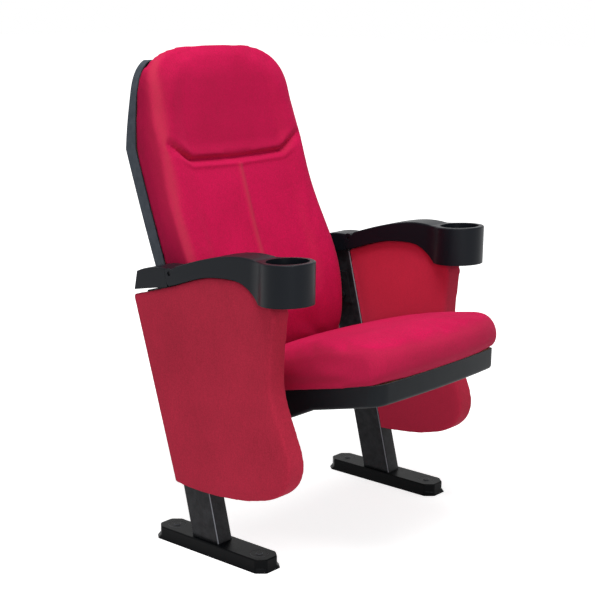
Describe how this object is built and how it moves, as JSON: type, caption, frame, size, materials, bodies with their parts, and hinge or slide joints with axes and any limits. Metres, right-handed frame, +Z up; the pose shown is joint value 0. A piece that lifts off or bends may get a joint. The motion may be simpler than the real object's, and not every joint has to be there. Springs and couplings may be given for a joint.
{
  "type": "tip up auditorium seat",
  "caption": "Free-standing auditorium seat with a tip-up upholstered seat, a high contoured back, upholstered side panels and lift-up arms with cup holders.",
  "frame": {"origin": "on the floor, at the centre of the four floor bolts", "axes": "+Z up; -Y is the front, the way the sitter faces; +X is the sitter's left"},
  "size_m": [0.7106, 0.7053, 1.043],
  "materials": {
    "red_upholstery": "woven, matte",
    "black_coated_steel": "semi-gloss powder coat",
    "black_moulding": "fine-grained satin",
    "grey_moulding": "fine-grained satin",
    "plywood": "raw plywood",
    "plated_steel": "zinc plated",
    "nylon": "natural",
    "rubber": "matte"
  },
  "bodies": {
    "side_frames_and_back": {"back_board": "plywood", "back_bracket_bolts": "black_coated_steel", "back_cushion": "red_upholstery", "back_shell": "grey_moulding", "foot_plugs": "black_moulding", "left_arm_block": "black_moulding", "left_back_bracket": "black_coated_steel", "left_column_cap": "black_coated_steel", "left_foot_cover": "black_moulding", "left_foot_plate": "black_coated_steel", "left_leg_column": "black_coated_steel", "left_panel_backing": "black_coated_steel", "left_panel_pad": "red_upholstery", "left_pivot_pin": "plated_steel", "left_pivot_plate": "black_coated_steel", "left_return_spring": "plated_steel", "left_stop_pin": "plated_steel", "left_stop_sleeve": "rubber", "panel_backing_screws": "plated_steel", "pivot_plate_bolts": "black_coated_steel", "right_arm_block": "black_moulding", "right_back_bracket": "black_coated_steel", "right_column_cap": "black_coated_steel", "right_foot_cover": "black_moulding", "right_foot_plate": "black_coated_steel", "right_leg_column": "black_coated_steel", "right_panel_backing": "black_coated_steel", "right_panel_pad": "red_upholstery", "right_pivot_pin": "plated_steel", "right_pivot_plate": "black_coated_steel", "right_return_spring": "plated_steel", "right_stop_pin": "plated_steel", "right_stop_sleeve": "rubber"},
    "tip_up_seat": {"cross_tube": "black_coated_steel", "hinge_bushes": "nylon", "left_stop_plate": "black_coated_steel", "right_stop_plate": "black_coated_steel", "seat_board": "plywood", "seat_cushion": "red_upholstery", "seat_pan": "black_moulding", "seat_rails": "black_coated_steel"},
    "left_armrest": {"left_arm": "black_moulding", "left_arm_pin": "black_coated_steel"},
    "right_armrest": {"right_arm": "black_moulding", "right_arm_pin": "black_coated_steel"}
  },
  "joints": [
    {"name": "seat_tip", "type": "hinge", "parent": "side_frames_and_back", "child": "tip_up_seat", "pos_m": [0, -0.01, 0.305], "axis": [-1, 0, 0], "range_deg": [0, 70]},
    {"name": "left_arm_lift", "type": "hinge", "parent": "side_frames_and_back", "child": "left_armrest", "pos_m": [0.3, 0.10801, 0.58903], "axis": [-1, 0, 0], "range_deg": [0, 90]},
    {"name": "right_arm_lift", "type": "hinge", "parent": "side_frames_and_back", "child": "right_armrest", "pos_m": [-0.3, 0.10801, 0.58903], "axis": [-1, 0, 0], "range_deg": [0, 90]}
  ]
}
